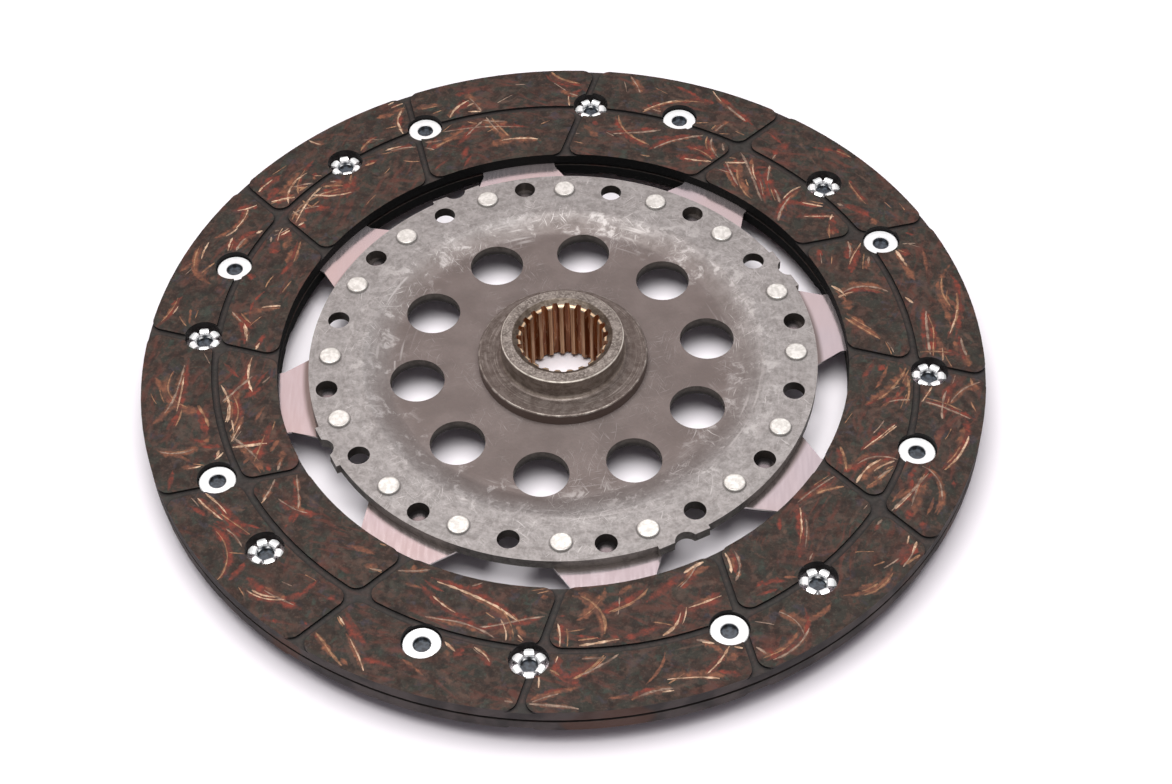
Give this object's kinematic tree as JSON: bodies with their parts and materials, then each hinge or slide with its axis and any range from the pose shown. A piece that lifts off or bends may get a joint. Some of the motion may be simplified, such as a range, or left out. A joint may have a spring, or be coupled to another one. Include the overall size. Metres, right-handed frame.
{
  "type": "clutch disc",
  "caption": "Rigid dry clutch disc: a splined hub and a dished plate carry two friction rings on spring-steel segments.",
  "frame": {"origin": "centre of the hub's lower end face, which the disc stands on", "axes": "+Z along the disc's axis, from the hub's lower end towards its nose; X and Y lie across the disc"},
  "size_m": [0.228, 0.228, 0.0218],
  "materials": {
    "hub_steel": "turned, oiled dark steel",
    "plate_steel": "pressed and blasted steel, dull",
    "spring_steel": "bright rolled spring steel",
    "friction_lining": "woven organic friction material, matt",
    "plated_rivet": "zinc plated",
    "plain_rivet": "plain upset steel"
  },
  "bodies": {
    "root": {"hub": "hub_steel", "drive_plate": "plate_steel", "upper_lining": "friction_lining", "lower_lining": "friction_lining", "cushion_segment_1": "spring_steel", "cushion_segment_2": "spring_steel", "cushion_segment_3": "spring_steel", "cushion_segment_4": "spring_steel", "cushion_segment_5": "spring_steel", "cushion_segment_6": "spring_steel", "cushion_segment_7": "spring_steel", "cushion_segment_8": "spring_steel", "segment_rivets_1": "plain_rivet", "segment_rivets_2": "plain_rivet", "segment_rivets_3": "plain_rivet", "segment_rivets_4": "plain_rivet", "segment_rivets_5": "plain_rivet", "segment_rivets_6": "plain_rivet", "segment_rivets_7": "plain_rivet", "segment_rivets_8": "plain_rivet", "upper_lining_rivets": "plated_rivet", "lower_lining_rivets": "plated_rivet"}
  },
  "joints": []
}
